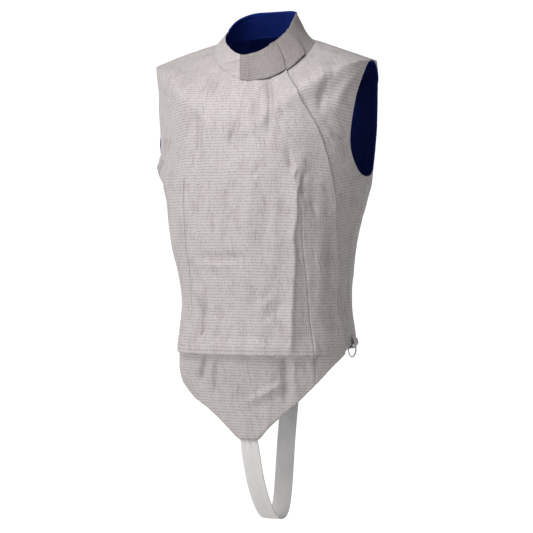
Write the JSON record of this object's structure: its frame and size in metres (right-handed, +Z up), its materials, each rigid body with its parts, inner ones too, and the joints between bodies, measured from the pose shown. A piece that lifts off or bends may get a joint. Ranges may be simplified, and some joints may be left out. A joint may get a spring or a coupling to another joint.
{
  "type": "fencing lame, sleeveless foil vest",
  "caption": "Sleeveless silver electric fencing vest with a stand collar, side lap closure, blue lining, white elastic crotch strap and a wire clip ring, worn form with no wearer.",
  "frame": {"origin": "between the shoulders at the height of the shoulder's neck end, where the wearer holds the vest up", "axes": "+Z up, the garment faces -Y, +X is the wearer's left"},
  "size_m": [0.3592, 0.2137, 0.7649],
  "materials": {
    "silver_cloth": "conductive metallic weave",
    "blue_lining": "matte woven lining",
    "white_elastic": "ribbed elastic webbing",
    "ring_steel": "nickel-plated wire"
  },
  "bodies": {
    "vest": {"front_outer": "silver_cloth", "front_under": "silver_cloth", "back": "silver_cloth", "lining_front_right": "blue_lining", "lining_front_left": "blue_lining", "lining_back": "blue_lining", "collar_front": "silver_cloth", "collar_tab": "silver_cloth", "collar_left": "silver_cloth", "collar_right": "silver_cloth", "lining_collar": "blue_lining", "crotch_strap": "white_elastic", "ring_loop": "silver_cloth"},
    "clip_ring": {"ring": "ring_steel"}
  },
  "joints": [
    {"name": "ring_swing", "type": "hinge", "parent": "vest", "child": "clip_ring", "pos_m": [0.13816, 0.0105, -0.4552], "axis": [0, 1, 0], "range_deg": [-110, 110]}
  ]
}
